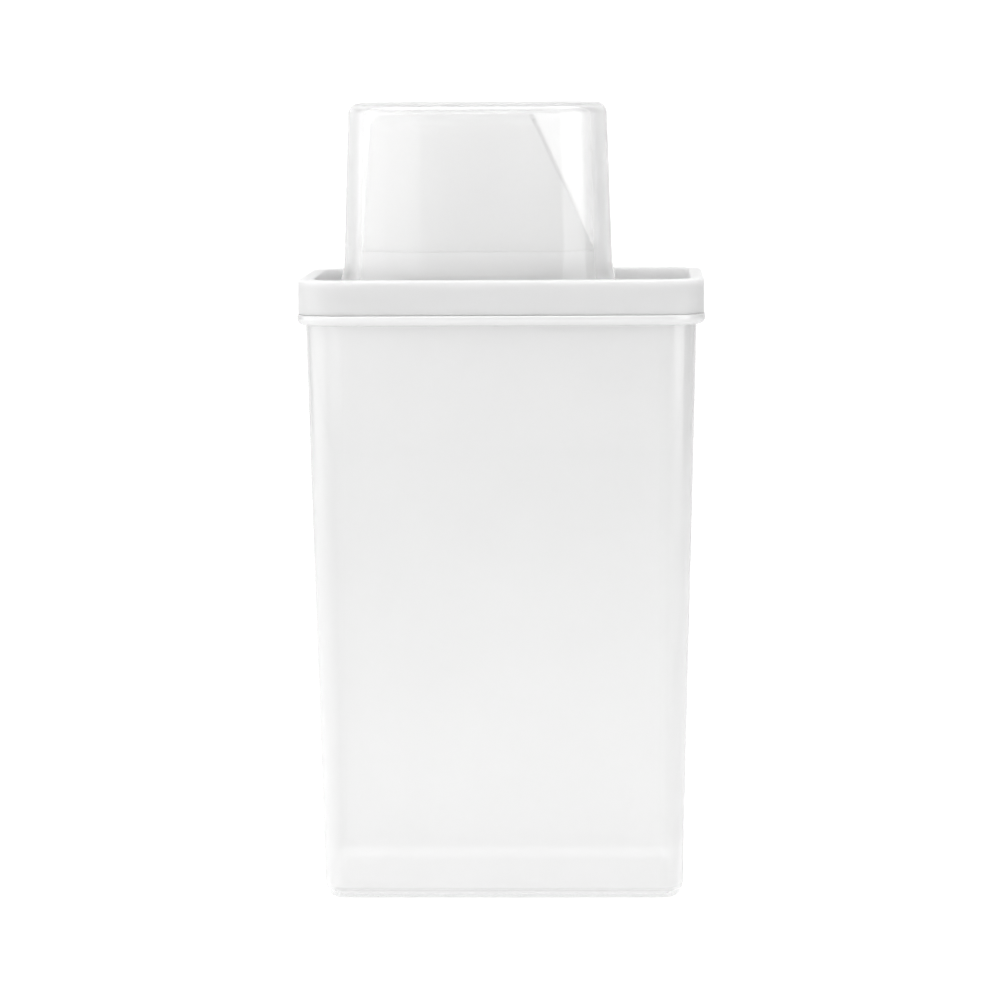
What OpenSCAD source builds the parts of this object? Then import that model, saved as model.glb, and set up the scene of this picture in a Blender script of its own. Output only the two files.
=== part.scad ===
// Storage box for laundry powder: a tall cloudy container, a white lid with a hooded
// pouring spout, and a clear measuring cup that caps the spout.
// The base stands on z = 0 with the origin under its middle, and the spout pours towards +X.

/* [Plan] */
// Width of the lid, left to right
lid_width = 130; // [115:1:145]
// Depth of the lid, front to back
lid_depth = 95; // [85:1:110]
// Plan radius of the lid's corners
lid_corner_radius = 14.5; // [13.5:0.5:18]

/* [Container] */
// Height from the base to the top of the flange
container_height = 188.8; // [150:0.1:230]
// How far the walls stand inside the lid's outline at the flange
wall_inset = 2.3; // [2:0.1:2.6]
// How far each wall leans in from the flange down to the base
wall_lean = 4.9; // [3:0.1:5.5]
// Thickness of the walls
wall_thickness = 1.6; // [1.2:0.1:2]
// Thickness of the floor
floor_thickness = 2; // [1.5:0.1:3]
// Outer radius of the edge round the base
base_edge_radius = 4; // [3:0.1:5]
// How far the flange stands out past the lid's outline
flange_overhang = 0.4; // [0:0.1:0.8]
// Height of the flange
flange_height = 3.4; // [3.3:0.1:4.2]
// Radius of the flange's lower edge
flange_radius = 2.2; // [1.6:0.1:2.4]
// Radius of the flange's upper edge
flange_edge_radius = 0.6; // [0.4:0.1:0.8]
// Thickness of the upstand that the lid's rim fits over
upstand_thickness = 1.3; // [1:0.1:1.5]

/* [Lid] */
// Height of the lid's outer wall
rim_height = 11.1; // [10:0.1:13]
// Thickness of the rim's two walls
rim_wall = 1.2; // [1:0.1:1.4]
// Thickness of the top of the rim
rim_top_thickness = 1.6; // [1.2:0.1:2]
// Radius of the rim's upper edges
rim_edge_radius = 0.5; // [0.4:0.1:1]
// Depth of the recess inside the rim
recess_depth = 5.8; // [4.5:0.1:6.5]
// Thickness of the deck at the bottom of the recess
deck_thickness = 1.6; // [1.2:0.1:2]

/* [Spout] */
// Room between the rim and the cup at the left of the recess
left_margin = 8.2; // [4:0.1:12]
// Room between the rim and the cup at the front and back of the recess
front_margin = 3; // [1:0.1:6]
// Width of the collar, left to right
collar_width = 82.4; // [76:0.1:86]
// Plan radius of the collar's corners
collar_corner_radius = 23.7; // [20:0.1:28]
// Height of the collar above the deck
collar_height = 14.3; // [12:0.1:18]
// Width of the flat shoulder between the collar and the hood
shoulder_width = 3.7; // [3:0.1:5]
// Height of the hood above the shoulder
hood_height = 43.9; // [35:0.1:52]
// How far the hood leans in from its foot to its top
hood_lean = 3.3; // [2:0.1:5]
// Outer radius of the edge round the hood's top
hood_edge_radius = 4.8; // [3:0.1:6]
// Thickness of the collar and the hood
spout_wall = 1.6; // [1.2:0.1:2]
// Lean of the cut mouth away from upright, in degrees
mouth_lean = 25.4; // [18:0.1:32]
// Height of the sill left under the mouth
mouth_sill = 0.8; // [0.6:0.1:4]

/* [Measuring cup] */
// How far the cup leans in from its mouth to its closed end
cup_lean = 2; // [1:0.1:2.6]
// Thickness of the cup
cup_wall = 1.6; // [1.2:0.1:2]
// Outer radius of the edge round the closed end
cup_edge_radius = 3.6; // [2.5:0.1:5]
// How far the lip flares out from the cup's wall
lip_flare = 1.2; // [0.8:0.1:1.6]
// Height of the upright part of the lip
lip_height = 5; // [3:0.1:7]
// Height over which the lip flares
flare_height = 6.4; // [5:0.1:8]

/* [Clearances] */
// Gap between the rim's channel and the container's upstand
fit_gap = 0.3; // [0.3:0.05:0.4]
// Gap under the lid and under the cup, where they rest
seat_gap = 0.1; // [0.1:0.05:0.3]
// Gap between the cup and the top of the collar
cup_gap = 0.45; // [0.35:0.05:0.7]
// Gap between the hood and the cup's closed end
cup_headroom = 1.9; // [1:0.1:6]

/* [Hidden] */
$fn = 96;

// Extra length that carries a cut past the face it opens
overrun = 1;
// Extra radius that lets a round cross the faces beside it
round_overlap = 0.002;

// Heights above the base in the assembled box
flange_bottom = container_height - flange_height;
skirt_bottom = container_height + seat_gap;
rim_top = skirt_bottom + rim_height;
channel_top = rim_top - rim_top_thickness;
upstand_top = channel_top - fit_gap;
deck_top = rim_top - recess_depth;
deck_bottom = deck_top - deck_thickness;
collar_top = deck_top + collar_height;
hood_top = collar_top + hood_height;
cup_mouth = deck_top + seat_gap;
cup_top = hood_top + cup_headroom + cup_wall;
cup_height = cup_top - cup_mouth;

// Corner axes of the box, shared by the container and the lid
box_axis_x = lid_width / 2 - lid_corner_radius;
box_axis_y = lid_depth / 2 - lid_corner_radius;

// Radii about the box's corner axes
wall_top_radius = lid_corner_radius - wall_inset;
wall_slope = wall_lean / container_height;
base_radius = wall_top_radius - wall_lean;
flange_tip_radius = lid_corner_radius + flange_overhang;
skirt_radius = lid_corner_radius - rim_wall;
upstand_radius = skirt_radius - fit_gap;
upstand_inner_radius = upstand_radius - upstand_thickness;
channel_radius = upstand_inner_radius - fit_gap;
recess_radius = channel_radius - rim_wall;

// Radii about the spout's corner axes
hood_foot_radius = collar_corner_radius - shoulder_width;
hood_slope = hood_lean / hood_height;
hood_top_radius = hood_foot_radius - hood_lean;
cup_slope = cup_lean / cup_height;
cup_mouth_radius = collar_corner_radius + cup_gap + cup_wall + (collar_top - cup_mouth) * cup_slope;
cup_top_radius = cup_mouth_radius - cup_lean;
lip_radius = cup_mouth_radius - (lip_height + flare_height) * cup_slope + lip_flare;
flare_radius = (flare_height * flare_height + lip_flare * lip_flare) / (2 * lip_flare);

// Corner axes of the spout about its own middle, shared by the collar, the hood and the cup
spout_axis_x = collar_width / 2 - collar_corner_radius;
spout_axis_y = box_axis_y + recess_radius - front_margin - lip_radius;
// Place of the spout's middle, left of the lid's
spout_x = spout_axis_x + lip_radius + left_margin - recess_radius - box_axis_x;

// Carries a section round a rounded rectangle with its corner axes at half_x and half_y
module carry_round(half_x, half_y) {
    for (turn = [0 : 3]) {
        reach = turn % 2 == 0 ? half_x : half_y;
        run = turn % 2 == 0 ? half_y : half_x;
        rotate(turn * 90)
            translate([reach, run, 0]) {
                rotate_extrude(angle = 90)
                    children();
                rotate([90, 0, 0])
                    linear_extrude(2 * run)
                        children();
            }
    }
}

// Plate that fills the middle between four corner axes
module middle_plate(half_x, half_y, bottom, thickness) {
    translate([-half_x, -half_y, bottom])
        cube([2 * half_x, 2 * half_y, thickness]);
}

// What a round takes off a corner, between two directions from the round's centre
module corner_waste(centre, radius, start, end) {
    reach = 2 * radius;
    middle = (start + end) / 2;
    translate(centre)
        difference() {
            polygon([
                [0, 0],
                reach * [cos(start), sin(start)],
                2 * reach * [cos(middle), sin(middle)],
                reach * [cos(end), sin(end)]
            ]);
            circle(radius + round_overlap);
        }
}

// Half section of a leaning solid, wide at height zero, with a rounded edge at its narrow end
module leaning_section(wide, narrow, height, edge) {
    lean = atan((wide - narrow) / height);
    centre = [narrow + edge * tan(lean) - edge / cos(lean), height - edge];
    difference() {
        polygon([[0, 0], [wide, 0], [narrow, height], [0, height]]);
        corner_waste(centre, edge, lean, 90);
    }
}

// Section of the container's wall and floor
module shell_section() {
    translate([0, container_height])
        mirror([0, 1])
            difference() {
                leaning_section(wall_top_radius, base_radius, container_height, base_edge_radius);
                translate([0, -overrun])
                    leaning_section(
                        wall_top_radius - wall_thickness + overrun * wall_slope,
                        base_radius - wall_thickness + floor_thickness * wall_slope,
                        container_height - floor_thickness + overrun,
                        base_edge_radius - wall_thickness
                    );
            }
}

// Section of the flange, rounded below and above, with the upstand on it
module flange_section() {
    root = wall_top_radius - wall_thickness / 2;
    knee = flange_bottom + flange_radius;
    shelf = container_height - flange_edge_radius;
    difference() {
        translate([root, flange_bottom])
            square([flange_tip_radius - root, flange_height]);
        corner_waste([flange_tip_radius - flange_radius, knee], flange_radius, -90, 0);
        corner_waste([flange_tip_radius - flange_edge_radius, shelf], flange_edge_radius, 0, 90);
    }
    translate([upstand_inner_radius, knee])
        square([upstand_thickness, upstand_top - knee]);
}

module container() {
    color("gainsboro") {
        carry_round(box_axis_x, box_axis_y)
            union() {
                shell_section();
                flange_section();
            }
        middle_plate(box_axis_x, box_axis_y, 0, floor_thickness);
    }
}

// Section of the rim, a channel turned upside down, with the deck inside it
module rim_section() {
    shelf = rim_top - rim_edge_radius;
    difference() {
        translate([recess_radius, skirt_bottom])
            square([lid_corner_radius - recess_radius, rim_height]);
        corner_waste([lid_corner_radius - rim_edge_radius, shelf], rim_edge_radius, 0, 90);
        corner_waste([recess_radius + rim_edge_radius, shelf], rim_edge_radius, 90, 180);
        translate([channel_radius, skirt_bottom - overrun])
            square([skirt_radius - channel_radius, channel_top - skirt_bottom + overrun]);
        translate([0, skirt_bottom - overrun])
            square([skirt_radius, deck_bottom - skirt_bottom + overrun]);
    }
    translate([0, deck_bottom])
        square([channel_radius, deck_thickness]);
}

// Section of the collar, its shoulder and the hood above them
module spout_section() {
    difference() {
        union() {
            translate([0, deck_bottom])
                square([collar_corner_radius, collar_top - deck_bottom]);
            translate([0, collar_top - spout_wall])
                leaning_section(
                    hood_foot_radius + spout_wall * hood_slope,
                    hood_top_radius,
                    hood_height + spout_wall,
                    hood_edge_radius
                );
        }
        translate([0, deck_bottom - overrun])
            square([collar_corner_radius - spout_wall, collar_top - deck_bottom - spout_wall + overrun]);
        translate([0, collar_top - spout_wall - overrun])
            leaning_section(
                hood_foot_radius - spout_wall + (spout_wall + overrun) * hood_slope,
                hood_top_radius - spout_wall + spout_wall * hood_slope,
                hood_height + overrun,
                hood_edge_radius - spout_wall
            );
    }
}

// Block on the open side of the slanted mouth
module mouth_cut() {
    foot = spout_axis_x + hood_foot_radius - mouth_sill * hood_slope;
    half_depth = spout_axis_y + collar_corner_radius;
    translate([foot, -half_depth, collar_top + mouth_sill])
        rotate([0, -mouth_lean, 0])
            cube([collar_width, 2 * half_depth, 2 * hood_height]);
}

// Opening through the deck under the collar
module deck_opening() {
    bottom = deck_bottom - overrun;
    thickness = deck_thickness + 2 * overrun;
    carry_round(spout_axis_x, spout_axis_y)
        translate([0, bottom])
            square([collar_corner_radius - spout_wall / 2, thickness]);
    middle_plate(spout_axis_x, spout_axis_y, bottom, thickness);
}

module lid() {
    color("white") {
        difference() {
            union() {
                carry_round(box_axis_x, box_axis_y)
                    rim_section();
                middle_plate(box_axis_x, box_axis_y, deck_bottom, deck_thickness);
            }
            translate([spout_x, 0, 0])
                deck_opening();
        }
        translate([spout_x, 0, 0])
            difference() {
                union() {
                    carry_round(spout_axis_x, spout_axis_y)
                        spout_section();
                    middle_plate(spout_axis_x, spout_axis_y, hood_top - spout_wall, spout_wall);
                }
                mouth_cut();
            }
    }
}

// Section of the cup as it stands over the spout, mouth down
module cup_section() {
    flare_top = cup_mouth + lip_height + flare_height;
    difference() {
        union() {
            translate([0, cup_mouth])
                leaning_section(cup_mouth_radius, cup_top_radius, cup_height, cup_edge_radius);
            difference() {
                translate([0, cup_mouth])
                    square([lip_radius, lip_height + flare_height - flare_radius * cup_slope]);
                translate([lip_radius - lip_flare + flare_radius, flare_top])
                    circle(flare_radius);
            }
        }
        translate([0, cup_mouth - overrun])
            leaning_section(
                cup_mouth_radius - cup_wall + overrun * cup_slope,
                cup_top_radius - cup_wall + cup_wall * cup_slope,
                cup_height - cup_wall + overrun,
                cup_edge_radius - cup_wall
            );
    }
}

module measuring_cup() {
    color("whitesmoke")
        translate([spout_x, 0, 0]) {
            carry_round(spout_axis_x, spout_axis_y)
                cup_section();
            middle_plate(spout_axis_x, spout_axis_y, cup_top - cup_wall, cup_wall);
        }
}

container();
lid();
measuring_cup();
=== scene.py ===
import math
import bmesh
import bpy
from mathutils import Matrix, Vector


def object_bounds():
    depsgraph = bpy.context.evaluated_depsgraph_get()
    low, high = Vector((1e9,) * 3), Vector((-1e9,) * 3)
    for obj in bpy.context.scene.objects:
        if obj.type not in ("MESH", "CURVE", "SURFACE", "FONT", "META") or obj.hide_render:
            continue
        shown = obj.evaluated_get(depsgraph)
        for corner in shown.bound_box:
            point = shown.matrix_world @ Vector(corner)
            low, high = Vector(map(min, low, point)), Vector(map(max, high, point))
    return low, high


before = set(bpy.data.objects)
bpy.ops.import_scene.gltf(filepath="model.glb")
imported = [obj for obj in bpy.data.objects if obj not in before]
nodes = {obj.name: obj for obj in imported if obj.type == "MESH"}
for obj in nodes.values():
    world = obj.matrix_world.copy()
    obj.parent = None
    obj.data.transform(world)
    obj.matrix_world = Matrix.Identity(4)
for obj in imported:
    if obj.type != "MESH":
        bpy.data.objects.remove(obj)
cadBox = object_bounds()
print("frame loaded:", ", ".join(sorted(nodes)))

mmPerMetre = 1000


def hexToLinear(code):
    channels = [int(code[i:i + 2], 16) / 255 for i in (1, 3, 5)]
    linear = [c / 12.92 if c <= 0.04045 else ((c + 0.055) / 1.055) ** 2.4 for c in channels]
    return (*linear, 1.0)


def addNode(tree, kind, settings, links):
    node = tree.nodes.new(kind)
    for name, value in settings.items():
        if hasattr(node, str(name)):
            setattr(node, name, value)
        else:
            node.inputs[name].default_value = value
    for name, socket in links.items():
        tree.links.new(socket, node.inputs[name])
    return node


def newMaterial(name):
    material = bpy.data.materials.new(name)
    material.use_nodes = True
    material.node_tree.nodes.clear()
    return material


flowNoise = {"cloudDetail": 2.0, "cloudRange": (0.3, 0.7), "rubDetail": 3.0, "rippleDetail": 1.0}


# Moulded polypropylene: pale, a little cloudy where the melt flowed, with a soft sheen and a faint ripple.
def mouldedPlastic(look):
    material = newMaterial(look["name"])
    tree = material.node_tree
    place = addNode(tree, "ShaderNodeTexCoord", {}, {}).outputs["Object"]
    height = addNode(tree, "ShaderNodeSeparateXYZ", {}, {"Vector": place}).outputs["Z"]
    cloud = addNode(
        tree, "ShaderNodeTexNoise",
        {"Scale": mmPerMetre / look["cloudMm"], "Detail": flowNoise["cloudDetail"]}, {"Vector": place})
    # Painted shade: the colour ramps with height. On the box it is painted darker towards the rim, standing in for
    # the shade under the lid, and paler towards the base, standing in for light off the floor; on the lid and the cup
    # the ramp only makes the top a little paler.
    rise = addNode(
        tree, "ShaderNodeMapRange",
        {"From Min": look["shadeFadeMm"][0] / mmPerMetre, "From Max": look["shadeFadeMm"][1] / mmPerMetre,
         "To Min": look["cloudShare"], "To Max": 1.0 - look["cloudShare"]}, {"Value": height})
    drift = addNode(
        tree, "ShaderNodeMapRange",
        {"From Min": flowNoise["cloudRange"][0], "From Max": flowNoise["cloudRange"][1],
         "To Min": -look["cloudShare"], "To Max": look["cloudShare"]}, {"Value": cloud.outputs["Fac"]})
    blend = addNode(
        tree, "ShaderNodeMath", {"operation": "ADD"}, {0: rise.outputs["Result"], 1: drift.outputs["Result"]})
    tone = addNode(tree, "ShaderNodeValToRGB", {}, {"Fac": blend.outputs[0]})
    tone.color_ramp.elements[0].color = hexToLinear(look["lowColour"])
    tone.color_ramp.elements[1].color = hexToLinear(look["highColour"])
    rub = addNode(
        tree, "ShaderNodeTexNoise",
        {"Scale": mmPerMetre / look["rubMm"], "Detail": flowNoise["rubDetail"]}, {"Vector": place})
    gloss = addNode(
        tree, "ShaderNodeMapRange",
        {"To Min": look["roughness"][0], "To Max": look["roughness"][1]}, {"Value": rub.outputs["Fac"]})
    ripple = addNode(
        tree, "ShaderNodeTexNoise",
        {"Scale": mmPerMetre / look["rippleMm"], "Detail": flowNoise["rippleDetail"]}, {"Vector": place})
    bump = addNode(
        tree, "ShaderNodeBump",
        {"Strength": look["rippleStrength"], "Distance": look["rippleHeightMm"] / mmPerMetre},
        {"Height": ripple.outputs["Fac"]})
    shader = addNode(
        tree, "ShaderNodeBsdfPrincipled", look["skin"],
        {"Base Color": tone.outputs["Color"], "Roughness": gloss.outputs["Result"], "Normal": bump.outputs["Normal"]})
    if "veil" in look:
        tree.links.new(veilCover(tree, look["veil"], height), shader.inputs[look["veil"]["socket"]])
    skin = shader.outputs["BSDF"]
    # Lamps shine on through the walls, a little dimmed by each skin.
    if "lampColour" in look:
        path = addNode(tree, "ShaderNodeLightPath", {}, {})
        passed = addNode(tree, "ShaderNodeBsdfTransparent", {"Color": hexToLinear(look["lampColour"])}, {})
        skin = addNode(
            tree, "ShaderNodeMixShader", {},
            {0: path.outputs["Is Shadow Ray"], 1: skin, 2: passed.outputs[0]}).outputs[0]
    addNode(tree, "ShaderNodeOutputMaterial", {}, {"Surface": skin})
    return material


# Seen at a slant, the wall is a longer way through and clouds more. The wall under the lid and the solid flange
# cloud more too, and the edge round the base lets the paper shine through.
def veilCover(tree, veil, height):
    slant = addNode(tree, "ShaderNodeLayerWeight", {"Blend": 0.5}, {}).outputs["Facing"]
    cover = addNode(
        tree, "ShaderNodeMapRange",
        {"From Min": veil["slant"][0], "From Max": veil["slant"][1],
         "To Min": veil["cover"][0], "To Max": veil["cover"][1]}, {"Value": slant}).outputs["Result"]
    for zone, choice in (("top", "MAXIMUM"), ("base", "MINIMUM"), ("flange", "MAXIMUM")):
        if zone in veil:
            limit = addNode(
                tree, "ShaderNodeMapRange",
                {"From Min": veil[zone]["mm"][0] / mmPerMetre, "From Max": veil[zone]["mm"][1] / mmPerMetre,
                 "To Min": veil[zone]["cover"][0], "To Max": veil[zone]["cover"][1]}, {"Value": height})
            cover = addNode(
                tree, "ShaderNodeMath", {"operation": choice}, {0: cover, 1: limit.outputs["Result"]}).outputs[0]
    return cover


# Natural polypropylene, thick enough to cloud: what is inside shows only as soft shade.
cloudyLook = {
    "name": "cloudyPolypropyleneMoulded",
    # Painted shade: highColour paints the box darker towards the rim, in place of the shade under the lid.
    "lowColour": "#fefefe", "highColour": "#f5f5f5", "shadeFadeMm": (30.0, 120.0), "cloudShare": 0.1,
    "cloudMm": 40.0, "rubMm": 9.0, "roughness": (0.22, 0.28),
    "rippleMm": 7.0, "rippleHeightMm": 0.02, "rippleStrength": 0.3,
    "skin": {"IOR": 1.6, "Coat Weight": 1.0, "Coat Roughness": 0.1, "Coat IOR": 1.8},
    "veil": {
        "socket": "Alpha", "slant": (0.05, 0.75), "cover": (0.52, 0.8),
        "top": {"mm": (140.0, 186.0), "cover": (0.5, 0.7)},
        "base": {"mm": (3.0, 6.0), "cover": (0.3, 1.0)},
        "flange": {"mm": (183.0, 186.0), "cover": (0.0, 0.95)},
    },
    "lampColour": "#eaeaea",
}

# White pigmented polypropylene: solid colour that light enters a little, with a satin skin.
whiteLook = {
    "name": "whitePolypropyleneMoulded",
    "lowColour": "#fdfdfd", "highColour": "#fefefe", "shadeFadeMm": (185.0, 255.0), "cloudShare": 0.3,
    "cloudMm": 30.0, "rubMm": 6.0, "roughness": (0.36, 0.44),
    "rippleMm": 5.0, "rippleHeightMm": 0.02, "rippleStrength": 0.3,
    "skin": {
        "IOR": 1.49, "Subsurface Weight": 1.0, "Subsurface Scale": 0.003, "Subsurface Radius": (1.0, 1.0, 1.0)},
}

# Clarified polypropylene: glassy skin with a slight haze, so the spout shows through it.
clearLook = {
    "name": "clearPolypropyleneMoulded",
    "lowColour": "#f8f8f8", "highColour": "#fafafa", "shadeFadeMm": (205.0, 256.0), "cloudShare": 0.3,
    "cloudMm": 35.0, "rubMm": 8.0, "roughness": (0.09, 0.14),
    "rippleMm": 8.0, "rippleHeightMm": 0.02, "rippleStrength": 0.25,
    "skin": {"IOR": 1.49, "Specular IOR Level": 0.4},
    "veil": {"socket": "Transmission Weight", "slant": (0.25, 0.85), "cover": (0.82, 0.4)},
    "lampColour": "#dcdcdc",
}

for node, look in (("container", cloudyLook), ("lid", whiteLook), ("measuring_cup", clearLook)):
    plastic = mouldedPlastic(look)
    nodes[node].data.materials.clear()
    nodes[node].data.materials.append(plastic)
    print("material on", node, "is", plastic.name)

stageShape = {"width": 2.4, "front": -4.0, "back": 1.6, "height": 3.0, "bend": 0.5, "bendSteps": 12}


# Pale paper sweep: floor and backdrop in one sheet, in metres.
def paperSweep():
    paper = bmesh.new()
    halfWidth = stageShape["width"] / 2
    front, back = stageShape["front"], stageShape["back"]
    corners = [(-halfWidth, front, 0), (halfWidth, front, 0), (halfWidth, back, 0), (-halfWidth, back, 0)]
    floorFace = paper.faces.new([paper.verts.new(c) for c in corners])
    fold = floorFace.edges[2]  # the back edge
    raised = bmesh.ops.extrude_edge_only(paper, edges=[fold])["geom"]
    topCorners = [v for v in raised if isinstance(v, bmesh.types.BMVert)]
    bmesh.ops.translate(paper, vec=(0, 0, stageShape["height"]), verts=topCorners)
    bmesh.ops.bevel(
        paper, geom=[fold], offset=stageShape["bend"], offset_type="OFFSET", affect="EDGES",
        segments=stageShape["bendSteps"], profile=0.5, material=-1)
    for face in paper.faces:
        face.smooth = True
    mesh = bpy.data.meshes.new("paperSweep")
    paper.to_mesh(mesh)
    paper.free()
    sweep = bpy.data.objects.new("paperSweep", mesh)
    bpy.context.scene.collection.objects.link(sweep)
    return sweep


# What shows white to the eye and through clear plastic, and pale in gloss, without lighting the box.
def seenGlow(tree, look):
    path = addNode(tree, "ShaderNodeLightPath", {}, {})
    seen = addNode(
        tree, "ShaderNodeMath", {"operation": "MAXIMUM"},
        {0: path.outputs["Is Camera Ray"], 1: path.outputs["Is Transmission Ray"]})
    mirrored = addNode(
        tree, "ShaderNodeMath", {"operation": "MULTIPLY", 1: look["glossGlow"]}, {0: path.outputs["Is Glossy Ray"]})
    return addNode(
        tree, "ShaderNodeMath", {"operation": "MULTIPLY_ADD", 1: look["glow"]},
        {0: seen.outputs[0], 2: mirrored.outputs[0]}).outputs[0]


paperLook = {"colour": "#ececec", "glowColour": "#ffffff", "glow": 0.55, "glossGlow": 0.15}


# Matt white paper: an even white with no sheen, which still takes the shadow.
def paperMaterial():
    material = newMaterial("whitePaperMatt")
    tree = material.node_tree
    matt = addNode(tree, "ShaderNodeBsdfDiffuse", {"Color": hexToLinear(paperLook["colour"])}, {})
    glow = addNode(
        tree, "ShaderNodeEmission", {"Color": hexToLinear(paperLook["glowColour"])},
        {"Strength": seenGlow(tree, paperLook)})
    both = addNode(tree, "ShaderNodeAddShader", {}, {0: matt.outputs[0], 1: glow.outputs[0]})
    addNode(tree, "ShaderNodeOutputMaterial", {}, {"Surface": both.outputs[0]})
    return material


paperSweep().data.materials.append(paperMaterial())
print("paper sweep laid")

roomLook = {"colour": "#ffffff", "strength": 0.2, "glow": 0.8, "glossGlow": 0.1, "fade": (0.05, 0.25)}


# Dim room: its walls show white from below up to a little over level, and fade to dark above.
def roomWorld():
    world = bpy.data.worlds.new("studioRoom")
    world.use_nodes = True
    tree = world.node_tree
    tree.nodes.clear()
    way = addNode(tree, "ShaderNodeTexCoord", {}, {}).outputs["Generated"]
    height = addNode(tree, "ShaderNodeSeparateXYZ", {}, {"Vector": way}).outputs["Z"]
    low = addNode(
        tree, "ShaderNodeMapRange",
        {"From Min": roomLook["fade"][0], "From Max": roomLook["fade"][1], "To Min": 1.0, "To Max": 0.0},
        {"Value": height})
    strength = addNode(
        tree, "ShaderNodeMath", {"operation": "MULTIPLY_ADD", 2: roomLook["strength"]},
        {0: low.outputs["Result"], 1: seenGlow(tree, roomLook)})
    walls = addNode(
        tree, "ShaderNodeBackground", {"Color": hexToLinear(roomLook["colour"])}, {"Strength": strength.outputs[0]})
    addNode(tree, "ShaderNodeOutputWorld", {}, {"Surface": walls.outputs[0]})
    bpy.context.scene.world = world


roomWorld()
print("room set")

# Turn is degrees round from the front of the box, right positive; glow is how bright the face looks, 1 being white.
softboxes = {
    "leftSoftbox": {"turn": -28.5, "rise": 12, "distance": 1.5, "size": (1.4, 1.5), "glow": 1.05},
    "leftWash": {"turn": -84, "rise": 12, "distance": 1.6, "size": (1.8, 1.5), "glow": 1.16},
    "rightSoftbox": {"turn": 66, "rise": 12, "distance": 1.5, "size": (1.0, 1.5), "glow": 1.52},
    "topSoftbox": {"turn": 0, "rise": 84, "distance": 1.4, "size": (2.6, 2.6), "glow": 1.3},
}


def hangSoftbox(name, box):
    width, height = box["size"]
    lamp = bpy.data.lights.new(name, "AREA")
    lamp.shape = "RECTANGLE"
    lamp.size = width
    lamp.size_y = height
    lamp.energy = box["glow"] * math.pi * width * height
    hung = bpy.data.objects.new(name, lamp)
    turn = Matrix.Rotation(math.radians(box["turn"]), 4, "Z")
    tilt = Matrix.Rotation(math.radians(90 - box["rise"]), 4, "X")
    middle = Matrix.Translation((0, 0, cadBox[1][2] / 2))
    hung.matrix_world = middle @ turn @ tilt @ Matrix.Translation((0, 0, box["distance"]))
    bpy.context.scene.collection.objects.link(hung)


for name, box in softboxes.items():
    hangSoftbox(name, box)
print("softboxes hung:", len(softboxes))

# Where the photograph was taken from, found from the lines of the lid and the box.
cameraView = {
    "framePixels": 1000, "focalPixels": 4566.95, "sensorMm": 36.0, "clipEnd": 50.0,
    "distance": 1.494784, "sideways": -0.001658, "height": 0.267889,
    "yaw": 1.749, "pitch": 5.437, "roll": -0.312,
}


def aimCamera():
    lens = bpy.data.cameras.new("viewCamera")
    lens.sensor_width = cameraView["sensorMm"]
    lens.lens = cameraView["sensorMm"] * cameraView["focalPixels"] / cameraView["framePixels"]
    lens.clip_end = cameraView["clipEnd"]
    camera = bpy.data.objects.new("viewCamera", lens)
    yaw = Matrix.Rotation(math.radians(cameraView["yaw"]), 4, "Z")
    back = Matrix.Translation((cameraView["sideways"], -cameraView["distance"], cameraView["height"]))
    pitch = Matrix.Rotation(math.radians(90 - cameraView["pitch"]), 4, "X")
    roll = Matrix.Rotation(math.radians(cameraView["roll"]), 4, "Z")
    camera.matrix_world = yaw @ back @ pitch @ roll
    bpy.context.scene.collection.objects.link(camera)
    bpy.context.scene.camera = camera


aimCamera()
bpy.context.scene.view_settings.view_transform = "Standard"
print("camera aimed")

bpy.context.view_layer.update()
